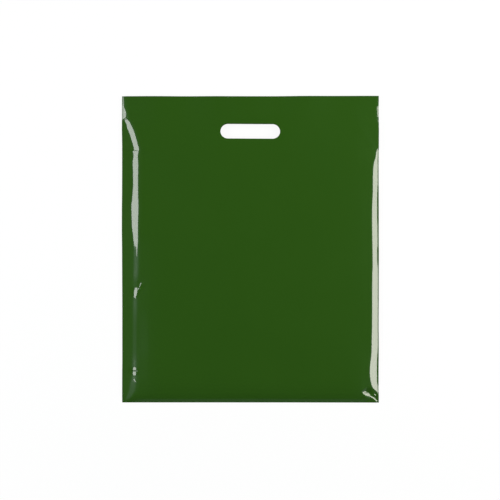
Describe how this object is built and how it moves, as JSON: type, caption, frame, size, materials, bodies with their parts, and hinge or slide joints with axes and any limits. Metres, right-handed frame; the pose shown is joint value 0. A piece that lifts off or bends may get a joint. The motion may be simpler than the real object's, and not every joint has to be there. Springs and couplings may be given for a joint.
{
  "type": "plastic carrier bag",
  "caption": "Flat polythene carrier bag with a punched-out hand slot and a folded-in bottom gusset, lying on its back and slightly puffed.",
  "frame": {"origin": "middle of the bag's outline, on the surface that it lies on", "axes": "+Y from the bottom folds to the mouth, +X to the right as seen from the front, +Z out of the front panel"},
  "size_m": [0.383, 0.457, 0.01],
  "materials": {
    "carrier_bag": "glossy dark green pigmented polythene film"
  },
  "bodies": {
    "root": {"carrier_bag": "carrier_bag"}
  },
  "joints": []
}
